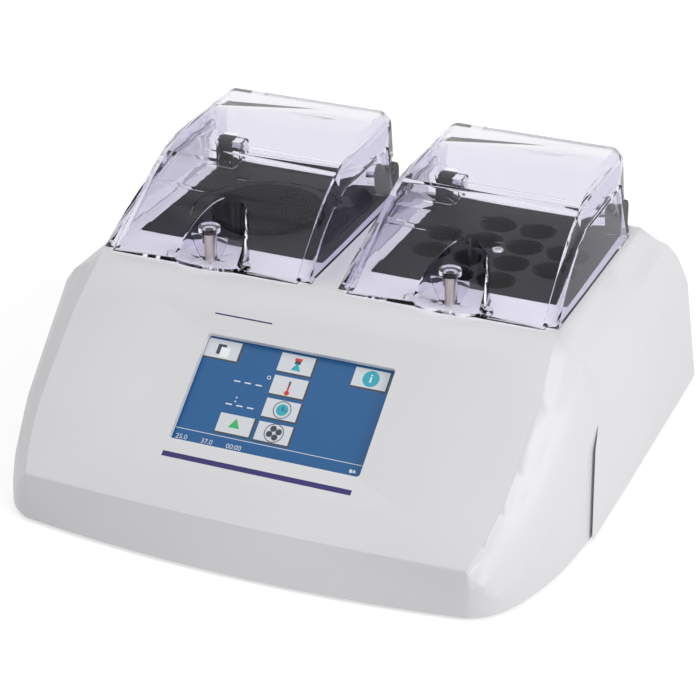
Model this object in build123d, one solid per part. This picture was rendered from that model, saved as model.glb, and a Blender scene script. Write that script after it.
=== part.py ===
from build123d import *
import math
import os

# Dry bath incubator, millimetres. X runs to the right, Y to the back, Z up.
# The origin is below the middle of the casing, on the surface it stands on.

# Casing
housing_width = 345.2
housing_depth = 332.5
deck_height = 120.0
housing_lift = 2.0
housing_wall = 3.0
panel_tilt = 37.4
deck_front = -40.6
deck_rear = 118.8
skirt_flare = 8.0
skirt_height = 28.0
side_draft = 1.5
front_bow = 10.5
front_corner_x = 133.0
corner_turn_x = 39.6
corner_turn_y = 108.0
rear_narrowing = 0.8
inner_crease = 143.0
outer_crease = 160.5
crease_drop = 15.0
cove_sag = 1.6
roll_width = 11.0
roll_height = 40.0

# Bays and their dark cover plates
bay_pitch = 150.0
bay_y = 50.8
plate_width = 117.0
plate_depth = 122.5
plate_thickness = 1.5
plate_shift = 5.8
plate_gap = 0.3
plate_corner = 2.0

# Vessel block of the right bay
vessel_diameter = 22.0
vessel_clearance = 0.3
vessel_pitch = 25.2
well_depth = 42.0
block_side = 103.0
warmer_thickness = 8.0
block_gap = 0.7
plate_hole_clearance = 0.8
centre_screw_head = 7.4
centre_screw_shank = 4.0
centre_screw_length = 14.0
heater_thickness = 2.0
sensor_diameter = 4.0
sensor_length = 30.0
tray_wall = 6.0
tray_floor = 8.0
tray_gap = 0.3
post_diameter = 8.0

# Cooling bay on the left
ring_diameter = 94.6
ring_groove = 0.8
foam_diameter = 71.4
foam_thickness = 6.0
foam_lip = 3.0
lift_slot_length = 10.0
lift_slot_width = 3.6
duct_height = 20.0
duct_wall = 3.0
duct_flange = 6.0
fan_side = 92.0
fan_thickness = 25.0
fan_bore = 86.0
fan_hub = 36.0
fan_tip_gap = 1.5
fan_blades = 7
fan_shaft = 4.0
fan_shaft_clearance = 0.05
fan_screw_pitch = 82.5

# Clear covers
cover_wall = 2.5
cover_lift = 1.5
cover_height = 52.0
cover_front = -91.0
cover_back = 62.0
cover_slope = 35.6
cover_straight_top = 23.5
cover_flat_start = 14.0
cover_top_half = 56.0
cover_foot_half = 59.6
cover_corner = 9.0
cover_crown = 0.3
wing_top_half = 60.4
wing_foot_half = 66.5
wing_end = 50.0
wing_height = 33.5
niche_half = 19.5
niche_depth = 38.0
lip_reach = 2.6
lip_half = 27.0
latch_y = -82.0
latch_post_diameter = 8.6
latch_ring_diameter = 13.0
latch_height = 24.0
magnet_diameter = 5.0
magnet_length = 17.5
striker_diameter = 14.0
striker_thickness = 2.0

# Cover hinges
hinge_y = 60.0
hinge_height = 12.0
hinge_pin_diameter = 4.0
hinge_clearance = 0.06
ear_radius = 7.5
ear_outer = 60.0
ear_width = 11.5
ear_side_gap = 0.4
knuckle_width = 5.6
knuckle_radius = 7.0

# Touch screen
window_width = 116.1
window_height = 67.6
window_corner = 2.0
screen_y = -97.5
recess_top_half = 107.0
recess_foot_half = 97.0
recess_half_height = 52.2
facet_drop = 1.5
glass_depth = 5.0
bezel_width = 6.0
gasket_thickness = 0.6
glass_thickness = 1.8
glass_border = 4.0
display_thickness = 6.0
bracket_thickness = 1.5
bracket_reach = 14.0
boss_diameter = 8.0
small_screw_head = 5.6
small_screw_shank = 3.0

# Base and boards
base_thickness = 2.0
base_gap = 0.5
foot_diameter = 18.0
foot_inset_x = 34.0
foot_inset_y = 40.0
base_boss_diameter = 10.0
base_screw_head = 7.0
base_screw_shank = 4.0
base_screw_length = 14.0
board_thickness = 1.6
spacer_height = 8.0
spacer_diameter = 6.0
main_board_size = (110.0, 80.0)
supply_board_size = (78.0, 118.0)
vent_slot_length = 60.0
vent_slot_width = 3.0
vent_slot_pitch = 7.0

# Back panel
rear_opening_width = 150.0
rear_opening_height = 54.0
rear_opening_x = 55.0
rear_panel_lap = 8.0
rear_panel_thickness = 1.5
inlet_width = 28.0
inlet_height = 31.0
inlet_flange = 3.0
inlet_depth = 24.0
inlet_x = -48.0
socket_width = 22.5
socket_height = 15.5
socket_depth = 15.0
pin_width = 4.0
pin_thickness = 2.0
pin_spread = 7.0
fuse_width = 22.0
fuse_height = 7.0
fuse_length = 20.0
fuse_clearance = 0.25
fuse_diameter = 5.0
rocker_width = 12.0
rocker_length = 20.0
rocker_clearance = 0.4
rocker_tilt = 9.0
rocker_axle = 2.0
switch_border = 3.0
switch_depth = 18.0
switch_x = -4.0
data_width = 12.0
data_height = 11.0
data_depth = 14.0
data_x = 40.0

# Sizes worked out from the driving dimensions
half_width = housing_width / 2
rear_edge = housing_depth / 2
front_edge = -housing_depth / 2
deck_under = deck_height - housing_wall
plate_seat = deck_height - plate_thickness
bay_x = bay_pitch / 2
base_top = housing_lift + 1.0 + base_thickness
base_under = base_top - base_thickness
well_radius = (vessel_diameter + vessel_clearance) / 2
block_top = plate_seat
block_foot = block_top - well_depth
block_under = block_foot - warmer_thickness
tray_under = block_under - heater_thickness - tray_floor
duct_top = deck_under
fan_top = duct_top - duct_height
fan_under = fan_top - fan_thickness
hinge_z = deck_height + hinge_height
panel_slope = math.tan(math.radians(panel_tilt))
rear_lean = math.atan((rear_edge - deck_rear) / (deck_height - housing_lift))
pin_radius = hinge_pin_diameter / 2
ear_inner = ear_outer - ear_width
knuckle_outer = ear_inner - ear_side_gap
glass_top = -glass_depth - gasket_thickness
display_top = glass_top - glass_thickness
bracket_top = display_top - display_thickness


def top_height(y):
    """Height of the casing's top surface at a place along Y: flat deck, then the sloping panel."""
    return deck_height - max(0.0, deck_front - y) * panel_slope


def panel_plane():
    """Plane on the sloping front panel at the screen's centre, with its Y up the slope."""
    tilt = math.radians(panel_tilt)
    origin = (0, screen_y, top_height(screen_y))
    return Plane(origin=origin, x_dir=(1, 0, 0), z_dir=(0, -math.sin(tilt), math.cos(tilt)))


def rear_plane():
    """Plane on the outside of the leaning back wall, with its Y up the wall and X to the left."""
    middle = (deck_height + housing_lift) / 2
    origin = (0, (rear_edge + deck_rear) / 2, middle)
    return Plane(origin=origin, x_dir=(-1, 0, 0), z_dir=(0, math.cos(rear_lean), math.sin(rear_lean)))


def prism(face, plane, low, high):
    """Straight solid on a face that lies on a plane, between two distances from that plane."""
    return plane * Pos(0, 0, low) * extrude(face, high - low)


def block_at(x, y, low, width, depth, height):
    """Upright box centred on x and y that stands on the height low."""
    return Pos(x, y, low + height / 2) * Box(width, depth, height)


def rod_at(x, y, low, diameter, height):
    """Upright round rod centred on x and y that stands on the height low."""
    return Pos(x, y, low + height / 2) * Cylinder(diameter / 2, height)


def group(solids):
    """Several like pieces kept as separate solids of one part."""
    return Compound(children=list(solids))


def casing_outline(height, skirt, draft, inset):
    """Plan of the casing at a height: bowed front, round front corners, straight sides."""
    side = half_width - draft - inset
    nose = front_edge + skirt + inset
    corner = (front_corner_x - inset, front_edge + front_bow + inset)
    swing = side - corner[0]
    bend = [
        (corner[0] + 0.40 * swing, corner[1] + 0.11 * corner_turn_y),
        (corner[0] + 0.68 * swing, corner[1] + 0.34 * corner_turn_y),
        (corner[0] + 0.88 * swing, corner[1] + 0.69 * corner_turn_y),
        (corner[0] + 0.96 * swing, corner[1] + corner_turn_y),
    ]
    waist = (side, front_edge + front_bow + corner_turn_y + 62.0)
    back = (side - rear_narrowing, rear_edge + 2.0)
    right = [corner] + bend + [waist]
    left = [(-x, y) for x, y in reversed(right)]
    edges = [
        ThreePointArc(left[-1], (0, nose), right[0]),
        Spline(*right, tangents=[(1, 0.35), (0, 1)]),
        Line(waist, back),
        Line(back, (-back[0], back[1])),
        Line((-back[0], back[1]), left[0]),
        Spline(*left, tangents=[(0, -1), (1, -0.35)]),
    ]
    return Pos(0, 0, height) * make_face(edges)


def shoulder_stations():
    """Places along Y with the inner crease, the outer crease and the drop between them."""
    panel_run = deck_front - (front_edge + front_bow)
    return [
        (rear_edge + 10.0, inner_crease, outer_crease - 0.5, crease_drop - 4.5),
        (deck_rear, inner_crease, outer_crease - 0.5, crease_drop - 4.5),
        (bay_y, inner_crease, outer_crease, crease_drop),
        (deck_front, inner_crease - 2.0, outer_crease, crease_drop),
        (deck_front - 0.28 * panel_run, inner_crease + 1.0, outer_crease - 4.0, crease_drop - 3.5),
        (deck_front - 0.56 * panel_run, inner_crease, outer_crease - 7.5, crease_drop - 5.0),
        (deck_front - 0.74 * panel_run, inner_crease - 1.5, outer_crease - 12.5, crease_drop - 5.0),
        (deck_front - 0.88 * panel_run, inner_crease - 5.0, outer_crease - 20.0, crease_drop - 6.0),
        (deck_front - panel_run, inner_crease - 10.0, outer_crease - 27.0, crease_drop - 13.0),
    ]


def shoulder_section(station, inset):
    """Section of the space outside the coved shoulder and the rolled edge below it."""
    y, inner, outer, drop = station
    top = top_height(y)
    far = half_width + 30.0
    points = [
        (inner, top),
        ((inner + outer) / 2, top - drop / 2 - cove_sag),
        (outer, top - drop),
        (outer + 0.5 * roll_width, top - drop - 0.2 * roll_height),
        (outer + 0.82 * roll_width, top - drop - 0.5 * roll_height),
        (outer + 1.3 * roll_width, top - drop - 1.1 * roll_height),
        (far, top - drop - 1.1 * roll_height),
        (far, deck_height + 40.0),
        (inner, deck_height + 40.0),
    ]
    shifted = [(x - inset, y, z - inset) for x, z in points]
    return make_face(Polyline(*shifted, close=True))


def casing_form(inset, sink):
    """Solid form of the casing, shrunk by an inset for the hollow, and sunk to open it below."""
    share = -sink / skirt_height
    foot = casing_outline(housing_lift - sink, share * skirt_flare, share * 0.3 * side_draft, inset)
    waist = casing_outline(housing_lift + skirt_height, skirt_flare, 0.3 * side_draft, inset)
    crown = casing_outline(deck_height, skirt_flare, side_draft, inset)
    body = loft([foot, waist], ruled=True) + loft([waist, crown], ruled=True)
    reach = deck_front - front_edge + 20.0
    lean = math.tan(rear_lean)
    drop = inset / math.cos(math.radians(panel_tilt))
    pull = inset / math.cos(rear_lean)
    bend = deck_front + (drop - inset) / panel_slope
    profile = [
        (rear_edge - pull + (sink + 1.0) * lean, housing_lift - sink - 1.0),
        (deck_rear - pull + inset * lean, deck_height - inset),
        (bend, deck_height - inset),
        (bend - reach, deck_height - inset - reach * panel_slope),
        (bend - reach, housing_lift - sink - 1.0),
    ]
    side_view = make_face(Polyline(*profile, close=True))
    body = body & (Plane.YZ * extrude(side_view, half_width + 20.0, both=True))
    outside = loft([shoulder_section(station, inset) for station in shoulder_stations()], ruled=True)
    return body - outside - mirror(outside, about=Plane.YZ)


def base_boss_places():
    """Plan places of the four posts that the base plate is screwed to."""
    x = half_width - 26.0
    return [(x, rear_edge - 26.0), (-x, rear_edge - 26.0), (x - 18.0, -96.0), (18.0 - x, -96.0)]


def display_boss_places():
    """Places of the display posts on the panel plane."""
    x = window_width / 2 + bracket_reach
    y = window_height / 2 - 6.0
    return [(x, y), (-x, y), (x, -y), (-x, -y)]


def plate_outline(gap):
    """Plan of a cover plate about its bay, notched at the back for the hinge ears."""
    plate = Pos(0, plate_shift) * RectangleRounded(
        plate_width + 2 * gap, plate_depth + 2 * gap, plate_corner)
    notch_front = hinge_y - ear_radius - plate_gap - 0.2
    reach = 40.0
    notch_inner = ear_inner - plate_gap - 0.2
    for side in (-1, 1):
        notch = Pos(side * (notch_inner + gap + reach / 2), notch_front + gap + reach / 2)
        plate -= notch * Rectangle(reach, reach)
    return plate


def screen_opening():
    """Faceted recess around the screen and the window through its bottom."""
    top, foot = recess_top_half, recess_foot_half
    height = recess_half_height
    quad = make_face(Polyline(
        (-foot, -height), (foot, -height), (top, height), (-top, height), close=True))
    floor = Pos(0, 0, -facet_drop) * Rectangle(window_width, window_height)
    window = RectangleRounded(window_width, window_height, window_corner)
    facets = loft([quad, floor], ruled=True) + extrude(quad, 5.0)
    through = Pos(0, 0, -20.0) * extrude(window, 20.0)
    return panel_plane() * facets, panel_plane() * through


def screen_posts():
    """Frame around the window and the four posts that carry the display bracket."""
    rim = Rectangle(window_width + 2 * bezel_width, window_height + 2 * bezel_width)
    solid = prism(rim, panel_plane(), -glass_depth, -facet_drop)
    for x, y in display_boss_places():
        post = Pos(x, y) * Circle(boss_diameter / 2)
        solid += prism(post, panel_plane(), bracket_top, -0.5 * housing_wall)
    return solid


def base_posts(form):
    """Posts inside the casing for the base screws, trimmed by the casing's own form."""
    posts = [rod_at(x, y, base_top, base_boss_diameter, deck_height) for x, y in base_boss_places()]
    return [(post & form) - rod_at(x, y, base_top, base_screw_shank, base_screw_length)
            for post, (x, y) in zip(posts, base_boss_places())]


def rear_screw_places():
    """Places of the back panel's screws, measured from the panel's centre."""
    x = (rear_opening_width + rear_panel_lap) / 2
    y = (rear_opening_height + rear_panel_lap) / 2
    return [(x, y), (-x, y), (x, -y), (-x, -y)]


def rear_screw_holes():
    """Clearance for the back panel's screws in the wall and in the panel."""
    hole = Circle(small_screw_shank / 2)
    return [prism(Pos(x - rear_opening_x, y) * hole, rear_plane(), -12.0, 6.0)
            for x, y in rear_screw_places()]


def rear_vents():
    """Row of upright slots in the back wall behind the cooling bay."""
    slots = []
    for index in range(8):
        x = bay_x + (index - 3.5) * vent_slot_pitch
        slot = Pos(x, 0) * Rotation(0, 0, 90) * SlotOverall(vent_slot_length * 0.7, vent_slot_width)
        slots.append(prism(slot, rear_plane(), -12.0, 6.0))
    return slots


def make_housing():
    """White moulded casing, open below, with its deck, panel, screen frame and posts."""
    form = casing_form(0.0, 0.0)
    shell = form - casing_form(housing_wall, 2.0)
    shell += screen_posts()
    for post in base_posts(form):
        shell += post
    facets, window = screen_opening()
    shell = shell - facets - window
    pocket = plate_outline(plate_gap)
    for side in (-1, 1):
        shell -= Pos(side * bay_x, bay_y, plate_seat) * extrude(pocket, 10.0)
    shell -= block_at(bay_x, bay_y, deck_under - 5.0, block_side + 2 * block_gap,
                      block_side + 2 * block_gap, 20.0)
    shell -= rod_at(-bay_x, bay_y, deck_under - 5.0, ring_diameter, 20.0)
    opening = Pos(-rear_opening_x, 0) * Rectangle(rear_opening_width, rear_opening_height)
    shell -= prism(opening, rear_plane(), -10.0, 10.0)
    for cut in rear_vents() + rear_screw_holes():
        shell -= cut
    return shell


def well_places():
    """Centres of the vessel wells about the bay: a square grid without its corners."""
    steps = [-1.5, -0.5, 0.5, 1.5]
    return [(i * vessel_pitch, j * vessel_pitch) for j in steps for i in steps
            if abs(i) + abs(j) < 3.0]


def make_vessel_block():
    """Aluminium block bored right through for the vessels, with the hole of its centre screw."""
    block = block_at(0, 0, block_foot, block_side, block_side, well_depth)
    for x, y in well_places():
        block -= rod_at(x, y, block_foot - 1.0, 2 * well_radius, well_depth + 2.0)
    block -= rod_at(0, 0, block_top - centre_screw_length, centre_screw_shank, centre_screw_length + 1.0)
    return Pos(bay_x, bay_y, 0) * block


def make_warming_plate():
    """Plate under the block that closes its wells below, with the sensor hole in its front."""
    plate = block_at(0, 0, block_under, block_side, block_side, warmer_thickness)
    probe = Cylinder(sensor_diameter / 2, sensor_length + 1.0, rotation=(90, 0, 0))
    plate -= Pos(0, (sensor_length - block_side - 1.0) / 2, block_under + warmer_thickness / 2) * probe
    return Pos(bay_x, bay_y, 0) * plate


def make_block_plate():
    """Dark sheet over the block, with one hole for each vessel."""
    sheet = extrude(plate_outline(0.0), plate_thickness)
    hole = vessel_diameter + plate_hole_clearance
    for x, y in well_places():
        sheet -= rod_at(x, y, -1.0, hole, plate_thickness + 2.0)
    sheet -= rod_at(0, 0, -1.0, centre_screw_shank, plate_thickness + 2.0)
    return Pos(bay_x, bay_y, plate_seat) * sheet


def button_screw(head, shank, length, head_height):
    """Round-headed screw with a hexagon socket, its head's underside at height zero."""
    dome = Cylinder(head / 2, head_height, align=(Align.CENTER, Align.CENTER, Align.MIN))
    dome = fillet(dome.edges().group_by(Axis.Z)[-1], 0.6 * head_height)
    socket = Pos(0, 0, 0.4 * head_height) * extrude(RegularPolygon(0.28 * head, 6), head_height)
    stem = Pos(0, 0, -length) * Cylinder(shank / 2, length, align=(Align.CENTER, Align.CENTER, Align.MIN))
    return dome - socket + stem


def make_centre_screw():
    """Screw that holds the plate to the block."""
    screw = button_screw(centre_screw_head, centre_screw_shank,
                         centre_screw_length + plate_thickness - 1.0, 2.0)
    return Pos(bay_x, bay_y, deck_height) * screw


def make_heater():
    """Flat heater mat below the block with its lead tab."""
    mat = block_at(0, 0, block_under - heater_thickness, block_side - 6.0, block_side - 6.0,
                   heater_thickness)
    return Pos(bay_x, bay_y, 0) * mat


def make_sensor():
    """Temperature probe in the block's front."""
    probe = Cylinder(sensor_diameter / 2, sensor_length, rotation=(90, 0, 0))
    return Pos(bay_x, bay_y + (sensor_length - block_side) / 2, block_under + 4.0) * probe


def make_insulation_tray():
    """Insulating tray round the block, below the deck."""
    outer = block_side + 2 * block_gap + 2 * tray_wall
    height = deck_under - tray_gap - tray_under
    tray = block_at(0, 0, tray_under, outer, outer, height)
    tray -= block_at(0, 0, tray_under + tray_floor, block_side + 2 * block_gap,
                     block_side + 2 * block_gap, height)
    return Pos(bay_x, bay_y, 0) * tray


def make_tray_posts():
    """Four spacers between the base plate and the insulating tray."""
    reach = block_side / 2 - 8.0
    return group(rod_at(bay_x + i * reach, bay_y + j * reach, base_top, post_diameter,
                        tray_under - base_top) for i in (-1, 1) for j in (-1, 1))


def make_cooling_plate():
    """Dark sheet over the cooling bay, with its round opening and the lifting slot."""
    sheet = extrude(plate_outline(0.0), plate_thickness)
    sheet -= rod_at(0, 0, -1.0, ring_diameter, plate_thickness + 2.0)
    slot = Pos(-0.31 * plate_width, 0.43 * ring_diameter) * SlotOverall(lift_slot_length, lift_slot_width)
    sheet -= Pos(0, 0, -1.0) * extrude(slot, plate_thickness + 2.0)
    return Pos(-bay_x, bay_y, plate_seat) * sheet


def make_filter_ring():
    """Ring in the round opening that holds the foam, with a narrow groove round it."""
    ring = rod_at(0, 0, deck_under, ring_diameter - 2 * ring_groove, housing_wall - 0.4)
    ring -= rod_at(0, 0, deck_under - 1.0, foam_diameter - 2 * foam_lip, housing_wall + 2.0)
    ring -= rod_at(0, 0, deck_under + 1.0, foam_diameter, housing_wall)
    return Pos(-bay_x, bay_y, 0) * ring


def make_filter_foam():
    """Round foam pad that the fan draws through, in the ring's seat."""
    pad = rod_at(0, 0, deck_under + 1.0, foam_diameter - 0.4, foam_thickness)
    pad = fillet(pad.edges().group_by(Axis.Z)[-1], 1.2)
    return Pos(-bay_x, bay_y, 0) * pad


def make_fan_duct():
    """Sleeve from the deck to the fan, with a flange below the deck and one on the fan."""
    outer = fan_bore + 2 * duct_wall
    duct = rod_at(0, 0, fan_top, outer, duct_height)
    duct += rod_at(0, 0, duct_top - duct_wall, ring_diameter + 2 * duct_flange, duct_wall)
    duct += block_at(0, 0, fan_top, fan_side, fan_side, duct_wall)
    duct -= rod_at(0, 0, fan_top - 1.0, fan_bore, duct_height + 2.0)
    return Pos(-bay_x, bay_y, 0) * duct


def fan_screw_places():
    """Centres of the fan's four screws about the bay."""
    half = fan_screw_pitch / 2
    return [(i * half, j * half) for i in (-1, 1) for j in (-1, 1)]


def make_fan_frame():
    """Square fan frame with its motor bracket and three arms."""
    frame = block_at(0, 0, fan_under, fan_side, fan_side, fan_thickness)
    frame = fillet(frame.edges().filter_by(Axis.Z), 5.0)
    frame -= rod_at(0, 0, fan_under - 1.0, fan_bore, fan_thickness + 2.0)
    waist = fan_thickness - 9.0
    for side in (-1, 1):
        for i in (0, 1):
            gap = block_at(side * fan_side / 2, 0, fan_under + 4.5, 3.0, 34.0, waist)
            frame -= Rotation(0, 0, 90 * i) * gap
    arm = block_at(fan_bore / 4 + 1.0, 0, fan_under, fan_bore / 2, 4.0, 2.5)
    for index in range(3):
        frame += Rotation(0, 0, 30 + 120 * index) * arm
    frame += rod_at(0, 0, fan_under, fan_hub, 2.5)
    frame += rod_at(0, 0, fan_under, fan_shaft, fan_thickness - 6.0)
    for x, y in fan_screw_places():
        frame -= rod_at(x, y, fan_under - 1.0, small_screw_shank, fan_thickness + 2.0)
    return Pos(-bay_x, bay_y, 0) * frame


def make_fan_rotor():
    """Fan rotor: cup-shaped hub on the shaft, with curved blades."""
    low = fan_under + 3.5
    height = fan_thickness - 6.0
    hub = rod_at(0, 0, low, fan_hub, height)
    hub = fillet(hub.edges().group_by(Axis.Z)[-1], 2.0)
    tip = fan_bore / 2 - fan_tip_gap
    span = tip - fan_hub / 2 + 1.0
    blade = Pos(fan_hub / 2 - 1.0 + span / 2, 0, low + height / 2) * Rotation(38, 0, 0) * Box(
        span, 2.0, height * 1.15)
    rotor = hub
    for index in range(fan_blades):
        rotor += Rotation(0, 0, 360 * index / fan_blades) * blade
    ring = rod_at(0, 0, low, 2 * tip, height)
    rotor = rotor & ring
    rotor -= rod_at(0, 0, low - 1.0, fan_shaft + 2 * fan_shaft_clearance, fan_thickness - 8.0)
    return Pos(-bay_x, bay_y, 0) * rotor


def make_fan_screws():
    """Four long screws through the fan frame into the duct's foot."""
    screws = [Pos(x, y, fan_under) * Rotation(180, 0, 0) * button_screw(
        small_screw_head, small_screw_shank, fan_thickness, 1.8) for x, y in fan_screw_places()]
    return Pos(-bay_x, bay_y, 0) * group(screws)


def cover_side_view(inset):
    """Side outline of a cover, open downwards: straight lower front, round brow, flat top."""
    run = (cover_straight_top - cover_lift) / math.tan(math.radians(cover_slope))
    brow = (cover_front + run, cover_straight_top)
    low = -20.0
    toe = (cover_front - (cover_lift - low) / math.tan(math.radians(cover_slope)), low)
    crown = (cover_flat_start, cover_height)
    chord = math.hypot(crown[0] - brow[0], crown[1] - brow[1])
    middle = ((brow[0] + crown[0]) / 2, (brow[1] + crown[1]) / 2)
    rise = 0.076 * chord
    across = ((brow[1] - crown[1]) / chord, (crown[0] - brow[0]) / chord)
    arch = (middle[0] + rise * across[0], middle[1] + rise * across[1])
    outline = make_face([
        Line(toe, brow),
        ThreePointArc(brow, arch, crown),
        Line(crown, (cover_back, cover_height)),
        Line((cover_back, cover_height), (cover_back, low)),
        Line((cover_back, low), toe),
    ])
    return offset(outline, -inset) if inset else outline


def cover_front_view(top_half, foot_half, height, corner, inset):
    """Front outline of a cover or of its wings: leaning sides and round top corners."""
    low = -20.0
    slope = (foot_half - top_half) / (height - cover_lift)
    spread = foot_half + slope * (cover_lift - low)
    outline = make_face(Polyline(
        (-spread, low), (spread, low), (top_half, height), (-top_half, height), close=True))
    if corner:
        outline = fillet(outline.vertices().group_by(Axis.Y)[-1], corner)
    return offset(outline, -inset) if inset else outline


def wing_side_view(inset):
    """Side outline of the widened lower part of a cover, below a curved ledge."""
    start = (cover_front - 8.0, -9.0)
    arch = (-36.0, wing_height - 4.5)
    end = (wing_end, wing_height)
    outline = make_face([
        ThreePointArc(start, arch, end),
        Line(end, (wing_end, -20.0)),
        Line((wing_end, -20.0), (start[0], -20.0)),
        Line((start[0], -20.0), start),
    ])
    return offset(outline, -inset) if inset else outline


def cover_form(inset):
    """Solid form of a cover about its bay, shrunk by an inset for the space inside."""
    width = wing_foot_half + 20.0
    upper = (Plane.YZ * extrude(cover_side_view(inset), width, both=True)) & (
        Plane.XZ * extrude(cover_front_view(
            cover_top_half, cover_foot_half, cover_height + cover_crown, cover_corner, inset),
            200.0, both=True))
    wings = (Plane.YZ * extrude(wing_side_view(inset), width, both=True)) & (
        Plane.XZ * extrude(cover_front_view(
            wing_top_half, wing_foot_half, wing_height, 0.0, inset), 200.0, both=True))
    wings = wings & (Plane.YZ * extrude(cover_side_view(inset), width, both=True))
    return upper + wings


def niche_outline(grow):
    """Plan of the hollow in a cover's front where the latch post stands."""
    root = cover_front + 2.0
    arch = Pos(0, root) * Ellipse(niche_half + grow, niche_depth + grow)
    mouth = Pos(0, root - 20.0) * Rectangle(2 * (niche_half + grow), 40.0)
    return arch + mouth


def latch_post():
    """Hollow post with a ring and fins that holds the magnet, on the niche's floor."""
    low = cover_lift + 0.5
    post = rod_at(0, latch_y, low, latch_post_diameter, latch_height - low)
    post += rod_at(0, latch_y, latch_height - 3.0, latch_ring_diameter, 3.0)
    reach = latch_ring_diameter / 2 + 5.0
    fin = make_face(Polyline(
        (-reach, latch_height - 6.0), (reach, latch_height - 6.0), (reach, latch_height - 8.5),
        (0.5 * reach, low), (-0.5 * reach, low), (-reach, latch_height - 8.5), close=True))
    return post + Pos(0, latch_y, 0) * (Plane.XZ * extrude(fin, 0.7, both=True))


def cover_floor():
    """Floor of the niche, which runs forward into the finger lip."""
    lip_root = cover_front + 7.0
    lip = Pos(0, lip_root) * Ellipse(lip_half, lip_root - cover_front + lip_reach)
    arch = Pos(0, cover_front + 2.0) * Ellipse(niche_half + 1.0, niche_depth + 1.0)
    back = Pos(0, lip_root + 30.0) * Rectangle(2 * niche_half + 2.0, 60.0)
    plan = lip + (arch & back)
    return Pos(0, 0, cover_lift) * extrude(plan, 2.0)


def make_cover(side):
    """Clear cover with its niche, latch post, knuckles and rest pads."""
    width = 2 * wing_foot_half + 40.0
    shell = cover_form(0.0) - extrude(niche_outline(0.0), 200.0, both=True)
    hollow = cover_form(cover_wall) - extrude(niche_outline(cover_wall), 200.0, both=True)
    shell = shell - hollow - block_at(0, 0, cover_lift - 40.0, width, 400.0, 40.0)
    back_gap = hinge_y - knuckle_radius - 2.0
    shell -= block_at(0, back_gap + 20.0, 0.0, 2 * knuckle_outer, 40.0, 4.0)
    notch = ear_radius + 3.0
    for i in (-1, 1):
        x = i * (knuckle_outer + 20.0)
        shell -= block_at(x, wing_end + 20.05, 0.0, 40.0, 40.0, hinge_height + notch)
    for i in (-1, 1):
        knuckle = Cylinder(knuckle_radius, knuckle_width, rotation=(0, 90, 0))
        shell += Pos(i * (knuckle_outer - knuckle_width / 2), hinge_y, hinge_height) * knuckle
    shell = shell + cover_floor() + latch_post()
    for x in (-1, 1):
        for y in (latch_y, wing_end - 14.0):
            shell += block_at(x * (wing_foot_half - 0.6 * cover_wall), y, 0.3, cover_wall - 0.6, 6.0,
                              cover_lift - 0.2)
    shell -= Pos(0, hinge_y, hinge_height) * Cylinder(
        pin_radius + hinge_clearance, 2 * ear_outer, rotation=(0, 90, 0))
    shell -= rod_at(0, latch_y, 0.0, magnet_diameter, cover_lift + 1.0 + magnet_length)
    return Pos(side * bay_x, bay_y, deck_height) * shell


def make_latch_magnet(side):
    """Rod magnet inside the latch post."""
    return Pos(side * bay_x, bay_y, deck_height + cover_lift + 1.0) * rod_at(
        0, latch_y, 0.0, magnet_diameter, magnet_length)


def make_strikers():
    """Steel discs under the deck that the magnets pull on."""
    return group(rod_at(side * bay_x, bay_y + latch_y, deck_under - striker_thickness,
                        striker_diameter, striker_thickness) for side in (-1, 1))


def make_hinge_ears(side):
    """Two dark ears beside a cover's back corners, each bored for its pin."""
    profile = Pos(0, hinge_height) * Circle(ear_radius)
    profile += Pos(0, hinge_height / 2) * Rectangle(2 * ear_radius, hinge_height)
    profile -= Pos(0, hinge_height) * Circle(pin_radius)
    ears = []
    for i in (-1, 1):
        ear = Plane.YZ * extrude(profile, ear_width / 2, both=True)
        ears.append(Pos(i * (ear_outer - ear_width / 2), hinge_y, 0) * ear)
    return Pos(side * bay_x, bay_y, deck_height) * group(ears)


def make_hinge_pins(side):
    """Steel pins through the ears and the cover's knuckles."""
    length = ear_width + ear_side_gap + knuckle_width - 0.5
    pins = [Pos(i * (ear_outer - 0.5 - length / 2), hinge_y, hinge_height) * Cylinder(
        pin_radius, length, rotation=(0, 90, 0)) for i in (-1, 1)]
    return Pos(side * bay_x, bay_y, deck_height) * group(pins)


def sheet_on_panel(width, height, corner, low, high):
    """Rounded sheet parallel to the front panel, between two depths below it."""
    return prism(RectangleRounded(width, height, corner), panel_plane(), low, high)


def make_screen_gasket():
    """Soft frame between the casing and the glass."""
    width = window_width + 2 * bezel_width - 2.0
    height = window_height + 2 * bezel_width - 2.0
    frame = RectangleRounded(width, height, 2.0) - Rectangle(window_width + 2.0, window_height + 2.0)
    return prism(frame, panel_plane(), glass_top, -glass_depth)


def make_screen_glass():
    """Touch glass behind the window."""
    return sheet_on_panel(window_width + 2 * glass_border, window_height + 2 * glass_border, 3.0,
                          display_top, glass_top)


def make_display():
    """Display module behind the glass."""
    return sheet_on_panel(window_width + 4.0, window_height + 6.0, 1.0, bracket_top, display_top)


def make_display_bracket():
    """Sheet bracket that clamps the display, with holes for its screws."""
    width = window_width + 2 * bracket_reach + 2 * boss_diameter
    sheet = RectangleRounded(width, window_height + 6.0, 4.0)
    for x, y in display_boss_places():
        sheet -= Pos(x, y) * Circle(small_screw_shank / 2)
    return prism(sheet, panel_plane(), bracket_top - bracket_thickness, bracket_top)


def make_display_screws():
    """Four screws through the display bracket."""
    low = bracket_top - bracket_thickness
    screw = Rotation(180, 0, 0) * button_screw(small_screw_head, small_screw_shank,
                                               bracket_thickness, 1.8)
    return group(panel_plane() * Pos(x, y, low) * screw for x, y in display_boss_places())


def foot_places():
    """Plan places of the four rubber feet."""
    x = half_width - foot_inset_x
    y = rear_edge - foot_inset_y
    return [(x, y), (-x, y), (x - 12.0, -y + 14.0), (12.0 - x, -y + 14.0)]


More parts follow.
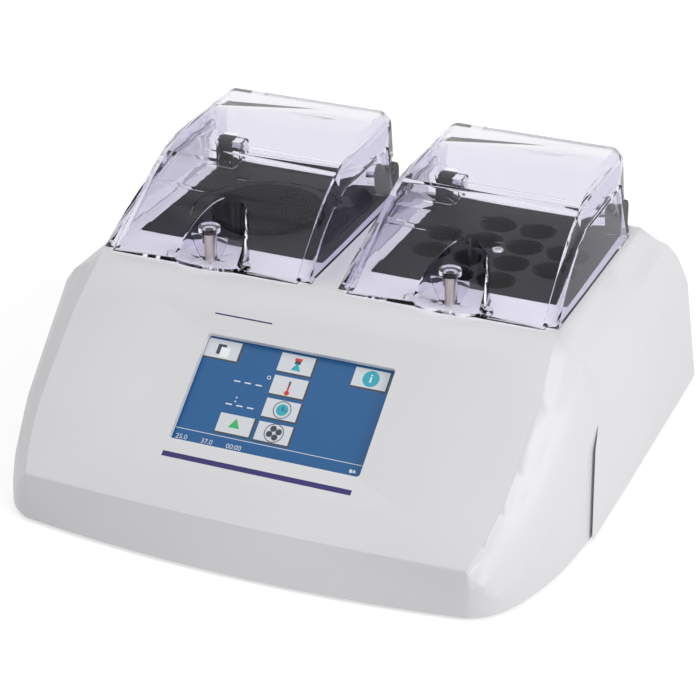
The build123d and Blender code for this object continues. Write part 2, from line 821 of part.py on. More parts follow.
def make_base_plate():
    """Sheet steel base inside the casing's lower edge, with vents below the fan and supply."""
    skirt = skirt_flare * (base_top - housing_lift) / skirt_height
    plan = casing_outline(base_under, skirt, side_draft * 0.1, housing_wall + base_gap)
    plate = extrude(plan, base_thickness)
    back = (rear_edge - housing_wall / math.cos(rear_lean) - base_gap
            - (base_top - housing_lift) * math.tan(rear_lean))
    plate -= block_at(0, back + 50.0, base_under - 1.0, housing_width, 100.0, base_thickness + 2.0)
    for bay in (-bay_x, bay_x):
        for index in range(7):
            y = bay_y - 70.0 * (bay > 0) + (index - 3) * vent_slot_pitch
            slot = Pos(bay, y, base_under - 1.0) * extrude(
                SlotOverall(vent_slot_length, vent_slot_width), base_thickness + 2.0)
            plate -= slot
    for x, y in base_boss_places():
        plate -= rod_at(x, y, base_under - 1.0, base_screw_shank, base_thickness + 2.0)
    return plate


def make_base_screws():
    """Four screws from below into the casing's posts."""
    screw = Rotation(180, 0, 0) * button_screw(base_screw_head, base_screw_shank,
                                               base_screw_length + base_thickness - 1.0, 1.6)
    return group(Pos(x, y, base_under) * screw for x, y in base_boss_places())


def make_feet():
    """Four rubber feet under the base plate."""
    foot = Cylinder(foot_diameter / 2, base_under, align=(Align.CENTER, Align.CENTER, Align.MIN))
    foot = fillet(foot.edges().group_by(Axis.Z)[0], 0.8)
    return group(Pos(x, y, 0) * foot for x, y in foot_places())


def board_on_base(centre, size, parts):
    """Circuit board on spacers, with blocks and cans for its components."""
    low = base_top + spacer_height
    board = block_at(centre[0], centre[1], low, size[0], size[1], board_thickness)
    for x, y, width, depth, height in parts:
        board += block_at(centre[0] + x, centre[1] + y, low + board_thickness - 0.2, width, depth,
                          height + 0.2)
    return board


def spacers_below(centre, size):
    """Four spacers below a board's corners."""
    return [rod_at(centre[0] + i * (size[0] / 2 - 5.0), centre[1] + j * (size[1] / 2 - 5.0), base_top,
                   spacer_diameter, spacer_height) for i in (-1, 1) for j in (-1, 1)]


main_board_place = (-62.0, -78.0)
supply_board_place = (60.0, -62.0)


def make_main_board():
    """Control board with its processor, relays, connectors and coin cell holder."""
    parts = [(-20, 10, 14, 14, 2), (20, 18, 19, 15, 15), (42, 18, 19, 15, 15), (-40, -30, 22, 8, 10),
             (0, -30, 30, 8, 10), (38, -28, 20, 10, 9), (-38, 20, 20, 20, 5)]
    return board_on_base(main_board_place, main_board_size, parts)


def make_power_supply():
    """Supply board with its transformer, capacitors, heat sink and terminals."""
    parts = [(0, 10, 34, 30, 26), (-24, -26, 18, 18, 28), (22, -26, 16, 30, 20), (0, 46, 60, 14, 12),
             (28, 20, 4, 40, 26)]
    return board_on_base(supply_board_place, supply_board_size, parts)


def make_board_spacers():
    """Spacers between the base plate and both boards."""
    return group(spacers_below(main_board_place, main_board_size)
                 + spacers_below(supply_board_place, supply_board_size))


def make_buzzer():
    """Round buzzer on the control board."""
    low = base_top + spacer_height + board_thickness
    return rod_at(main_board_place[0] + 8.0, main_board_place[1] - 14.0, low, 12.0, 8.0)


panel_under = -housing_wall - rear_panel_thickness


def rear_prism(face, x, y, low, high):
    """Solid on the back wall's plane at a place measured from the back panel's centre."""
    return prism(Pos(x - rear_opening_x, y) * face, rear_plane(), low, high)


def make_rear_panel():
    """Metal panel behind the opening in the back wall, cut for its fittings."""
    sheet = Rectangle(rear_opening_width + 2 * rear_panel_lap, rear_opening_height + 2 * rear_panel_lap)
    panel = rear_prism(sheet, 0, 0, panel_under, -housing_wall)
    cuts = [(inlet_x, inlet_width, inlet_height), (data_x, data_width, data_height),
            (switch_x, rocker_width + 2 * switch_border, rocker_length + 2 * switch_border)]
    for x, width, height in cuts:
        panel -= rear_prism(Rectangle(width, height), x, 0, panel_under - 1.0, 0.0)
    for hole in rear_screw_holes():
        panel -= hole
    return panel


def make_mains_inlet():
    """Mains inlet body with its socket and the slot for the fuse drawer."""
    low = panel_under - inlet_depth
    body = rear_prism(Rectangle(inlet_width, inlet_height), 0 + inlet_x, 0, low, -housing_wall)
    flange = RectangleRounded(inlet_width + 2 * inlet_flange, inlet_height + 2 * inlet_flange, 2.0)
    body += rear_prism(flange, inlet_x, 0, -housing_wall, 0.6 - housing_wall + 1.4)
    socket = make_face(Polyline(
        (-socket_width / 2, -socket_height / 2), (socket_width / 2, -socket_height / 2),
        (socket_width / 2, socket_height / 2 - 4.0), (socket_width / 2 - 4.0, socket_height / 2),
        (4.0 - socket_width / 2, socket_height / 2), (-socket_width / 2, socket_height / 2 - 4.0),
        close=True))
    body -= rear_prism(socket, inlet_x, 5.0, -housing_wall - socket_depth, 2.0)
    fuse = Rectangle(fuse_width + 2 * fuse_clearance, fuse_height + 2 * fuse_clearance)
    return body - rear_prism(fuse, inlet_x, -9.5, -housing_wall - fuse_length - fuse_clearance, 2.0)


def make_inlet_pins():
    """Three flat contacts inside the mains inlet."""
    low = -housing_wall - socket_depth
    blade = Rectangle(pin_thickness, pin_width)
    places = [(-pin_spread, 4.0), (0.0, 7.0), (pin_spread, 4.0)]
    return group(rear_prism(blade, inlet_x + x, y, low, low + socket_depth - 2.0) for x, y in places)


def make_fuse_drawer():
    """Fuse drawer below the socket, with a finger edge."""
    low = -housing_wall - fuse_length
    drawer = rear_prism(Rectangle(fuse_width, fuse_height), inlet_x, -9.5, low, -housing_wall + 2.0)
    grip = rear_prism(Rectangle(8.0, 1.6), inlet_x, -9.5 + fuse_height / 2 - 0.8,
                      2.0 - housing_wall, 3.4 - housing_wall)
    tube = Rectangle(fuse_width - 5.0, fuse_diameter + 0.2)
    return drawer + grip - rear_prism(tube, inlet_x, -9.5, low + 4.0, low + 4.0 + fuse_diameter)


def make_fuse():
    """Glass fuse lying across the drawer."""
    low = -housing_wall - fuse_length + 4.0 + fuse_diameter / 2
    fuse = Cylinder(fuse_diameter / 2, fuse_width - 5.2, rotation=(0, 90, 0))
    return rear_plane() * Pos(inlet_x - rear_opening_x, -9.5, low) * fuse


def make_switch_frame():
    """Switch body with the opening that the rocker sits in."""
    width = rocker_width + 2 * switch_border
    length = rocker_length + 2 * switch_border
    low = panel_under - switch_depth
    frame = rear_prism(Rectangle(width, length), switch_x, 0, low, -housing_wall)
    frame += rear_prism(RectangleRounded(width + 3.0, length + 3.0, 1.5), switch_x, 0,
                        -housing_wall, 1.5 - housing_wall)
    well = Rectangle(rocker_width + 2 * rocker_clearance, rocker_length + 2 * rocker_clearance)
    frame -= rear_prism(well, switch_x, 0, -housing_wall - 9.0, 2.0)
    axle = Cylinder(rocker_axle / 2, rocker_width + 2 * switch_border, rotation=(0, 90, 0))
    return frame + rear_plane() * Pos(switch_x - rear_opening_x, 0, -housing_wall) * axle


def make_rocker():
    """Rocker of the mains switch, pressed in at its lower end."""
    half = rocker_length / 2 - 0.6
    rise = half * math.tan(math.radians(rocker_tilt))
    shape = make_face(Polyline(
        (-half, -2.5), (-half, 1.0 + rise), (0, 1.0), (half, 1.0 + rise), (half, -2.5), (0, -5.0),
        close=True))
    shape -= Circle(rocker_axle / 2 + hinge_clearance)
    bar = Plane.YZ * extrude(shape, rocker_width / 2, both=True)
    turned = Rotation(-rocker_tilt, 0, 0) * bar
    return rear_plane() * Pos(switch_x - rear_opening_x, 0, -housing_wall) * turned


def make_data_socket():
    """Square data socket with its tongue."""
    low = panel_under - data_depth
    shell = rear_prism(Rectangle(data_width, data_height), data_x, 0, low, -housing_wall)
    shell -= rear_prism(Rectangle(data_width - 1.6, data_height - 1.6), data_x, 0, low + 2.0, 2.0)
    tongue = rear_prism(Rectangle(5.6, 3.2), data_x, 0, low + 1.0, low + 10.0)
    return shell + tongue


def make_rear_screws():
    """Four screws through the back wall into the panel."""
    screw = button_screw(small_screw_head, small_screw_shank, housing_wall + rear_panel_thickness + 1.5,
                         1.8)
    return group(rear_plane() * Pos(x - rear_opening_x, y, 0) * screw for x, y in rear_screw_places())


os.makedirs("parts", exist_ok=True)
nodes = {
    "housing_shell": make_housing(),
    "base_plate": make_base_plate(),
    "base_screws": make_base_screws(),
    "rubber_feet": make_feet(),
    "vessel_block": make_vessel_block(),
    "warming_plate": make_warming_plate(),
    "block_plate": make_block_plate(),
    "plate_screw": make_centre_screw(),
    "heater_mat": make_heater(),
    "temperature_probe": make_sensor(),
    "insulation_tray": make_insulation_tray(),
    "tray_posts": make_tray_posts(),
    "cooling_plate": make_cooling_plate(),
    "filter_ring": make_filter_ring(),
    "filter_foam": make_filter_foam(),
    "fan_duct": make_fan_duct(),
    "fan_frame": make_fan_frame(),
    "fan_rotor": make_fan_rotor(),
    "fan_screws": make_fan_screws(),
    "left_cover": make_cover(-1),
    "right_cover": make_cover(1),
    "left_latch_magnet": make_latch_magnet(-1),
    "right_latch_magnet": make_latch_magnet(1),
    "latch_strikers": make_strikers(),
    "left_hinge_ears": make_hinge_ears(-1),
    "right_hinge_ears": make_hinge_ears(1),
    "left_hinge_pins": make_hinge_pins(-1),
    "right_hinge_pins": make_hinge_pins(1),
    "screen_gasket": make_screen_gasket(),
    "screen_glass": make_screen_glass(),
    "display_module": make_display(),
    "display_bracket": make_display_bracket(),
    "display_screws": make_display_screws(),
    "main_board": make_main_board(),
    "power_supply": make_power_supply(),
    "board_spacers": make_board_spacers(),
    "buzzer": make_buzzer(),
    "rear_panel": make_rear_panel(),
    "rear_panel_screws": make_rear_screws(),
    "mains_inlet": make_mains_inlet(),
    "inlet_contacts": make_inlet_pins(),
    "fuse_drawer": make_fuse_drawer(),
    "fuse": make_fuse(),
    "switch_frame": make_switch_frame(),
    "power_rocker": make_rocker(),
    "data_socket": make_data_socket(),
}
for name, shape in nodes.items():
    export_step(shape, f"parts/{name}.step")
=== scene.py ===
import math

import bpy
from mathutils import Matrix, Vector


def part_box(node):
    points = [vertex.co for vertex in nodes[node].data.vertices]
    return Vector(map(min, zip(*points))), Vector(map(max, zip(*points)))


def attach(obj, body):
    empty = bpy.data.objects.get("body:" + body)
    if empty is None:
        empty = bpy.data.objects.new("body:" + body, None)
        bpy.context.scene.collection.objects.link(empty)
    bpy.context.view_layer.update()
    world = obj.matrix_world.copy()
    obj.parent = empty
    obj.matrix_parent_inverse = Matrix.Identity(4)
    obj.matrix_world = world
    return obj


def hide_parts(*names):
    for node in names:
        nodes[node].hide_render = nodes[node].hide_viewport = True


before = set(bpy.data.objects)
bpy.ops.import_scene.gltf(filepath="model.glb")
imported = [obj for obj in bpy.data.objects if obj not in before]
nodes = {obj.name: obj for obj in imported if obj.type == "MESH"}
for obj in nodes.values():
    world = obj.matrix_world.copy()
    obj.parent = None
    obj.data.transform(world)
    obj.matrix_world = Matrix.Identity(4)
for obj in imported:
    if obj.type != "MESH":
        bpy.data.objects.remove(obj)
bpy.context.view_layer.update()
MM = 0.001

# Camera: the photograph's viewpoint, to the right of the bench dry bath and above it,
# with a long lens and the frame shifted so that the object sits as it does there.
camera_place = Vector((0.4980, -1.1992, 0.7276))
camera_turn, camera_dip, camera_roll = (math.radians(a) for a in (21.774, 24.941, 0.582))
forward = Vector((-math.sin(camera_turn) * math.cos(camera_dip),
                  math.cos(camera_turn) * math.cos(camera_dip), -math.sin(camera_dip)))
level = Vector((math.cos(camera_turn), math.sin(camera_turn), 0.0))
upright = level.cross(forward)
right = level * math.cos(camera_roll) + upright * math.sin(camera_roll)
up = upright * math.cos(camera_roll) - level * math.sin(camera_roll)
camera_axes = Matrix((right, up, -forward)).transposed()
bpy.ops.object.camera_add(location=camera_place)
camera = bpy.context.object
camera.matrix_world = Matrix.Translation(camera_place) @ camera_axes.to_4x4()
camera.data.lens = 125.48
camera.data.sensor_width = 36.0
camera.data.shift_x = -0.0408
camera.data.shift_y = -0.1305
camera.data.clip_start = 0.01
bpy.context.scene.camera = camera
bpy.context.scene.view_settings.view_transform = "Standard"

# Studio: a white floor and a white surround. Both look white to the eye, in gloss and
# through the clear covers, and the floor keeps the soft shadow below the feet.
floor_size = 8.0
floor_grey = (0.62, 0.62, 0.62, 1)
floor_glow = 0.55
surround_light = 0.54
surround_glow = 0.48
lamps = [("key lamp", (2.0, -0.5, 1.2), 1.2, 24.0),
         ("top lamp", (-0.3, 0.2, 2.2), 1.6, 7.0),
         ("front lamp", (-0.9, -2.0, 0.8), 1.2, 3.0)]
lamp_target = Vector((0, 0, 0.08))


def node_material(name):
    """New material with a principled shader, its nodes and its links."""
    material = bpy.data.materials.new(name)
    material.use_nodes = True
    return material, material.node_tree.nodes, material.node_tree.links


def math_node(tree, operation, first, second):
    """Result of one sum in a node tree, whose second term is a number or a socket."""
    sum_node = tree.nodes.new("ShaderNodeMath")
    sum_node.operation = operation
    tree.links.new(first, sum_node.inputs[0])
    if isinstance(second, float):
        sum_node.inputs[1].default_value = second
    else:
        tree.links.new(second, sum_node.inputs[1])
    return sum_node.outputs[0]


def white_by_sight(tree, strength):
    """Glow that only the eye, gloss and clear pieces see."""
    path = tree.nodes.new("ShaderNodeLightPath")
    seen = math_node(tree, "MAXIMUM", path.outputs["Is Camera Ray"], path.outputs["Is Glossy Ray"])
    seen = math_node(tree, "MAXIMUM", seen, path.outputs["Is Transmission Ray"])
    return math_node(tree, "MULTIPLY", seen, strength)


def start_shape():
    """Nothing is selected before a new shape is added."""
    bpy.ops.object.select_all(action="DESELECT")


start_shape()
bpy.ops.mesh.primitive_plane_add(size=floor_size, location=(0, 0, 0))
floor = bpy.context.object
floor.name = "floor"
floor_white, floor_nodes, floor_links = node_material("floor white")
floor_shader = floor_nodes["Principled BSDF"]
floor_shader.inputs["Base Color"].default_value = floor_grey
floor_shader.inputs["Roughness"].default_value = 0.9
floor_shader.inputs["Emission Color"].default_value = (1, 1, 1, 1)
floor_links.new(white_by_sight(floor_white.node_tree, floor_glow), floor_shader.inputs["Emission Strength"])
floor.data.materials.append(floor_white)

surround = bpy.data.worlds.new("white surround")
bpy.context.scene.world = surround
surround.use_nodes = True
background = surround.node_tree.nodes["Background"]
background.inputs["Color"].default_value = (1, 1, 1, 1)
surround_strength = math_node(surround.node_tree, "ADD",
                              white_by_sight(surround.node_tree, surround_glow), surround_light)
surround.node_tree.links.new(surround_strength, background.inputs["Strength"])

for lamp_name, lamp_place, lamp_size, lamp_power in lamps:
    bpy.ops.object.light_add(type="AREA", location=lamp_place)
    lamp = bpy.context.object
    lamp.name = lamp_name
    lamp.data.size = lamp_size
    lamp.data.energy = lamp_power
    lamp.rotation_euler = (lamp_target - lamp.location).to_track_quat("-Z", "Y").to_euler()

# Casing: thick moulded ABS with a very fine spark texture and a satin skin. It comes
# from the mould in one piece, so the same white runs over deck, panel and sides.
merge_distance = 0.01 * MM
casing_smoothing = 28
grain_height = 0.2 * MM
grain_detail = 4.0
cloud_scale = 9.0
cloud_low, cloud_high = 0.35, 0.65
roughness_drift = 0.05
least_roughness = 0.03


def grain(material, scale, depth):
    """Fine bump of moulded or coated surfaces, on the piece's own coordinates."""
    tree = material.node_tree
    place = tree.nodes.new("ShaderNodeTexCoord")
    noise = tree.nodes.new("ShaderNodeTexNoise")
    noise.inputs["Scale"].default_value = scale
    noise.inputs["Detail"].default_value = grain_detail
    bump = tree.nodes.new("ShaderNodeBump")
    bump.inputs["Strength"].default_value = depth
    bump.inputs["Distance"].default_value = grain_height
    tree.links.new(place.outputs["Object"], noise.inputs["Vector"])
    tree.links.new(noise.outputs["Fac"], bump.inputs["Height"])
    tree.links.new(bump.outputs["Normal"], tree.nodes["Principled BSDF"].inputs["Normal"])


def moulded(name, dark, light, roughness, scale, depth, metallic=0.0, shine=0.5):
    """Plain finish whose colour and gloss drift a little, with a fine grain."""
    material, shader_nodes, links = node_material(name)
    shader = shader_nodes["Principled BSDF"]
    shader.inputs["Metallic"].default_value = metallic
    shader.inputs["Specular IOR Level"].default_value = shine
    grain(material, scale, depth)
    place = shader_nodes.new("ShaderNodeTexCoord")
    cloud = shader_nodes.new("ShaderNodeTexNoise")
    cloud.inputs["Scale"].default_value = cloud_scale
    links.new(place.outputs["Object"], cloud.inputs["Vector"])
    ramp = shader_nodes.new("ShaderNodeValToRGB")
    ends = zip(ramp.color_ramp.elements, (cloud_low, cloud_high), (dark, light))
    for end, position, tone in ends:
        end.position = position
        end.color = (*tone, 1)
    links.new(cloud.outputs["Fac"], ramp.inputs["Fac"])
    links.new(ramp.outputs["Color"], shader.inputs["Base Color"])
    gloss = shader_nodes.new("ShaderNodeMapRange")
    gloss.inputs["To Min"].default_value = max(least_roughness, roughness - roughness_drift)
    gloss.inputs["To Max"].default_value = roughness + roughness_drift
    links.new(cloud.outputs["Fac"], gloss.inputs["Value"])
    links.new(gloss.outputs["Result"], shader.inputs["Roughness"])
    return material


def smooth_copy(node, name, angle, material, body):
    """Copy of a CAD node with merged points and even shading, which stands for the node."""
    piece = nodes[node].copy()
    piece.data = nodes[node].data.copy()
    piece.name = name
    bpy.context.collection.objects.link(piece)
    start_shape()
    piece.select_set(True)
    bpy.context.view_layer.objects.active = piece
    bpy.ops.object.mode_set(mode="EDIT")
    bpy.ops.mesh.select_all(action="SELECT")
    bpy.ops.mesh.remove_doubles(threshold=merge_distance)
    bpy.ops.object.mode_set(mode="OBJECT")
    bpy.ops.object.shade_smooth_by_angle(angle=math.radians(angle))
    evened = piece.modifiers.new("evened", "WEIGHTED_NORMAL")
    evened.keep_sharp = True
    evened.weight = 100
    bpy.ops.object.modifier_apply(modifier="evened")
    piece.data.materials.clear()
    piece.data.materials.append(material)
    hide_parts(node)
    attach(piece, body)


casing_white = moulded("casing white", (0.72, 0.72, 0.74), (0.745, 0.745, 0.765), 0.42, 900.0, 0.10)
smooth_copy("housing_shell", "casing", casing_smoothing, casing_white, "base_unit")

# Bay plates and hinge ears: dark coated sheet and moulded nylon, both matt, with a
# slightly pebbled skin. The block and its plate below are black anodised aluminium.


def dress(material, *names):
    """Gives CAD nodes a finish in place of their plain one."""
    for name in names:
        nodes[name].data.materials.clear()
        nodes[name].data.materials.append(material)


dress(moulded("plate black", (0.012, 0.0125, 0.015), (0.017, 0.018, 0.021), 0.60, 1400.0, 0.25, shine=0.12),
      "block_plate", "cooling_plate", "filter_ring")
dress(moulded("ear grey", (0.028, 0.029, 0.033), (0.040, 0.041, 0.046), 0.50, 1100.0, 0.15, shine=0.25),
      "left_hinge_ears", "right_hinge_ears")
dress(moulded("anodised block", (0.008, 0.008, 0.010), (0.014, 0.014, 0.017), 0.45, 1500.0, 0.10,
              metallic=0.3, shine=0.2),
      "vessel_block", "warming_plate")

# Metal pieces: plated steel screws, pins and posts, zinc plated sheet for base, bracket,
# strikers and back panel, plated magnets in the covers and brass contacts in the inlet.
dress(moulded("plated steel", (0.62, 0.62, 0.63), (0.72, 0.72, 0.73), 0.26, 700.0, 0.05, metallic=1.0),
      "plate_screw", "base_screws", "left_hinge_pins", "right_hinge_pins", "display_screws",
      "rear_panel_screws", "fan_screws", "tray_posts", "board_spacers", "data_socket",
      "temperature_probe")
dress(moulded("zinc sheet", (0.50, 0.51, 0.53), (0.58, 0.59, 0.61), 0.42, 350.0, 0.08, metallic=1.0),
      "base_plate", "display_bracket", "rear_panel", "latch_strikers")
dress(moulded("magnet plating", (0.42, 0.37, 0.35), (0.56, 0.50, 0.47), 0.32, 500.0, 0.05, metallic=0.85),
      "left_latch_magnet", "right_latch_magnet")
dress(moulded("contact brass", (0.62, 0.46, 0.20), (0.70, 0.54, 0.26), 0.28, 500.0, 0.05, metallic=1.0),
      "inlet_contacts")

# Black fittings: fan, duct, inlet, switch and buzzer are moulded black parts, clipped or
# screwed in. Feet and gasket are rubber with a duller skin.
dress(moulded("fitting black", (0.016, 0.016, 0.018), (0.024, 0.024, 0.026), 0.38, 900.0, 0.12),
      "fan_duct", "fan_frame", "fan_rotor", "mains_inlet", "fuse_drawer", "switch_frame", "buzzer")
dress(moulded("rocker black", (0.014, 0.014, 0.015), (0.019, 0.019, 0.020), 0.22, 700.0, 0.04),
      "power_rocker")
dress(moulded("rubber black", (0.018, 0.018, 0.018), (0.030, 0.030, 0.030), 0.80, 600.0, 0.30),
      "rubber_feet", "screen_gasket")

# Inside pieces: fibre tray around the block, silicone heater mat below it, circuit boards
# on their spacers, and the glass fuse in its drawer.
dress(moulded("tray grey", (0.42, 0.42, 0.40), (0.50, 0.50, 0.48), 0.85, 400.0, 0.50), "insulation_tray")
dress(moulded("heater silicone", (0.36, 0.10, 0.03), (0.44, 0.14, 0.05), 0.60, 500.0, 0.20), "heater_mat")
dress(moulded("board green", (0.010, 0.11, 0.045), (0.018, 0.16, 0.07), 0.35, 500.0, 0.10),
      "main_board", "power_supply")
dress(moulded("fuse glass", (0.60, 0.62, 0.62), (0.72, 0.74, 0.74), 0.10, 300.0, 0.02), "fuse")

# Clear covers: each is one moulding of clear polycarbonate with a faint lilac tint. A deeper violet
# is painted in as shade where the surface faces sideways, for the darker edges seen through the side
# walls. Light passes through them, so they cast only a pale shade.
cover_smoothing = 25
cover_roughness = 0.03
cover_bending = 1.20
cover_haze_scale = 14.0
lilac_dark, lilac_light = (0.850, 0.840, 0.900, 1), (0.875, 0.865, 0.920, 1)
# Violet painted in as shade on the cover where its surface faces sideways, between these two shares.
side_shade_violet = (0.66, 0.63, 0.76, 1)
side_from, side_full = 0.80, 1.00
shade_paleness = 0.5

cover_clear, cover_nodes, cover_links = node_material("cover clear")
cover_shader = cover_nodes["Principled BSDF"]
cover_shader.inputs["Roughness"].default_value = cover_roughness
cover_shader.inputs["IOR"].default_value = cover_bending
cover_shader.inputs["Transmission Weight"].default_value = 1.0

cover_spot = cover_nodes.new("ShaderNodeTexCoord")
cover_haze = cover_nodes.new("ShaderNodeTexNoise")
cover_haze.inputs["Scale"].default_value = cover_haze_scale
cover_links.new(cover_spot.outputs["Object"], cover_haze.inputs["Vector"])
cover_tint = cover_nodes.new("ShaderNodeValToRGB")
cover_tint.color_ramp.elements[0].color = lilac_dark
cover_tint.color_ramp.elements[1].color = lilac_light
cover_links.new(cover_haze.outputs["Fac"], cover_tint.inputs["Fac"])

# Share of painted shade: how far the cover's surface normal faces sideways, along X.
cover_axes = cover_nodes.new("ShaderNodeSeparateXYZ")
cover_links.new(cover_spot.outputs["Normal"], cover_axes.inputs[0])
cover_sideways = cover_nodes.new("ShaderNodeMath")
cover_sideways.operation = "ABSOLUTE"
cover_links.new(cover_axes.outputs["X"], cover_sideways.inputs[0])
cover_side_shade = cover_nodes.new("ShaderNodeMapRange")
cover_side_shade.inputs["From Min"].default_value = side_from
cover_side_shade.inputs["From Max"].default_value = side_full
cover_links.new(cover_sideways.outputs[0], cover_side_shade.inputs["Value"])


def blend_colours(share, first, second):
    """Colour of the cover between a socket's and a fixed one, by a number or a socket."""
    blend = cover_nodes.new("ShaderNodeMix")
    blend.data_type = "RGBA"
    factor, colour_a, colour_b = blend.inputs[0], blend.inputs[6], blend.inputs[7]
    if isinstance(share, float):
        factor.default_value = share
    else:
        cover_links.new(share, factor)
    cover_links.new(first, colour_a)
    colour_b.default_value = second
    return blend.outputs[2]


# Cover colour: the lilac tint, turned violet as painted shade where the surface faces sideways.
cover_colour = blend_colours(cover_side_shade.outputs["Result"], cover_tint.outputs["Color"], side_shade_violet)
cover_links.new(cover_colour, cover_shader.inputs["Base Color"])
cover_pass = cover_nodes.new("ShaderNodeBsdfTransparent")
cover_links.new(blend_colours(shade_paleness, cover_colour, (1, 1, 1, 1)), cover_pass.inputs["Color"])
cover_path = cover_nodes.new("ShaderNodeLightPath")
cover_mix = cover_nodes.new("ShaderNodeMixShader")
cover_links.new(cover_path.outputs["Is Shadow Ray"], cover_mix.inputs[0])
cover_links.new(cover_shader.outputs[0], cover_mix.inputs[1])
cover_links.new(cover_pass.outputs[0], cover_mix.inputs[2])
cover_links.new(cover_mix.outputs[0], cover_nodes["Material Output"].inputs["Surface"])

for side in ("left", "right"):
    smooth_copy(side + "_cover", side + "_cover_clear", cover_smoothing, cover_clear,
                side + "_lid")

# Touch screen: glass over a lit display. The picture is a blue ground with light push
# areas; its signs are generic and printed flat, so they are thin sheets on the glass.
panel_lean = math.radians(37.4)
panel_front, panel_height = -97.5 * MM, 76.49 * MM
panel_frame = Matrix.Translation((0, panel_front, panel_height)) @ Matrix.Rotation(panel_lean, 4, "X")
window_width, window_height = 116.1 * MM, 67.6 * MM
glass_depth = -5.6 * MM
leaf = 0.05 * MM
line_radius = 0.22 * MM
pixel_scale = 2500.0
pixel_dimming = 0.94
screen_glow = 0.12


def lit(name, colour, roughness=0.25):
    """Finish of a lit sign: its colour is partly its own light, in very fine cells."""
    material, shader_nodes, links = node_material(name)
    shader = shader_nodes["Principled BSDF"]
    shader.inputs["Roughness"].default_value = roughness
    place = shader_nodes.new("ShaderNodeTexCoord")
    cells = shader_nodes.new("ShaderNodeTexNoise")
    cells.inputs["Scale"].default_value = pixel_scale
    tone = shader_nodes.new("ShaderNodeMix")
    tone.data_type = "RGBA"
    tone.inputs[6].default_value = (*colour, 1)
    tone.inputs[7].default_value = (*(part * pixel_dimming for part in colour), 1)
    links.new(place.outputs["Object"], cells.inputs["Vector"])
    links.new(cells.outputs["Fac"], tone.inputs[0])
    links.new(tone.outputs[2], shader.inputs["Base Color"])
    shader.inputs["Emission Color"].default_value = (*colour, 1)
    shader.inputs["Emission Strength"].default_value = screen_glow
    return material


def on_screen(u, v, layer):
    """Place on the screen from shares of its width and height, in a layer above the glass."""
    return (u - 0.5) * window_width, (0.5 - v) * window_height, glass_depth + layer * leaf


def patch(u0, v0, u1, v1, layer):
    """Flat rectangle between two places on the screen."""
    start_shape()
    x0, y0, z = on_screen(u0, v0, layer)
    x1, y1, z = on_screen(u1, v1, layer)
    bpy.ops.mesh.primitive_cube_add(size=1.0, location=((x0 + x1) / 2, (y0 + y1) / 2, z - leaf / 2),
                                    scale=(abs(x1 - x0), abs(y1 - y0), leaf))
    return bpy.context.object


def disc(u, v, radius, layer, corners=32):
    """Flat disc, or a polygon, at a place on the screen; the radius is in millimetres."""
    start_shape()
    x, y, z = on_screen(u, v, layer)
    bpy.ops.mesh.primitive_cylinder_add(vertices=corners, radius=radius * MM, depth=leaf,
                                        location=(x, y, z - leaf / 2))
    return bpy.context.object


def hoop(u, v, radius, layer):
    """Thin ring at a place on the screen; the radius is in millimetres."""
    start_shape()
    bpy.ops.mesh.primitive_torus_add(major_radius=radius * MM, minor_radius=line_radius,
                                     location=on_screen(u, v, layer))
    return bpy.context.object


def join_on_panel(name, shapes, material):
    """Makes one piece of the shapes, carries it to the sloping panel and gives its finish."""
    start_shape()
    for shape in shapes:
        shape.select_set(True)
    bpy.context.view_layer.objects.active = shapes[0]
    bpy.ops.object.transform_apply(location=True, rotation=True, scale=True)
    if len(shapes) > 1:
        bpy.ops.object.join()
    piece = bpy.context.object
    piece.name = name
    piece.data.transform(panel_frame)
    piece.data.materials.clear()
    piece.data.materials.append(material)
    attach(piece, "base_unit")


dress(lit("screen blue", (0.004, 0.092, 0.262), 0.30), "screen_glass", "display_module")

# Keys: seven light push areas with a dark edge on the right and below, and the thin rule
# over the bottom line. They lie in the screen's picture, each in shares of its size.
pages_key, info_key, play_key = (0.000, 0.015), (0.790, 0.020), (0.200, 0.663)
flask_key, warmth_key, clock_key, fan_key = (0.397, 0.020), (0.400, 0.234), (0.403, 0.450), (0.406, 0.668)
keys = [pages_key, flask_key, warmth_key, clock_key, fan_key, play_key, info_key]
key_width, key_height = 0.190, 0.188
edge_width, edge_height = 0.010, 0.016
join_on_panel("screen_key_edges", [patch(u, v, u + key_width, v + key_height, 1) for u, v in keys],
              lit("key edge", (0.045, 0.050, 0.060)))
key_faces = [patch(u, v, u + key_width - edge_width, v + key_height - edge_height, 2) for u, v in keys]
bottom_rule = patch(0.0, 0.872, 0.985, 0.878, 2)
join_on_panel("screen_keys", key_faces + [bottom_rule], lit("key light", (0.62, 0.65, 0.69)))

# Light signs on the blue ground: two rows of dashes for values not yet set, the colon and
# the degree ring beside them, and a small sound sign at the lower right.
dash_width, dash_height = 0.034, 0.011
dash_places = (0.205, 0.262, 0.320)
warmth_row, clock_row = 0.355, 0.572
light_signs = [patch(u, row, u + dash_width, row + dash_height, 2)
               for row in (warmth_row, clock_row) for u in dash_places]
light_signs += [disc(0.25, 0.507, 0.5, 2), disc(0.25, 0.544, 0.5, 2), hoop(0.375, 0.273, 1.0, 2)]
light_signs += [patch(0.930, 0.925, 0.945, 0.955, 2), disc(0.955, 0.940, 1.4, 2, corners=3)]
join_on_panel("screen_light_signs", light_signs, lit("sign light", (0.70, 0.74, 0.80)))

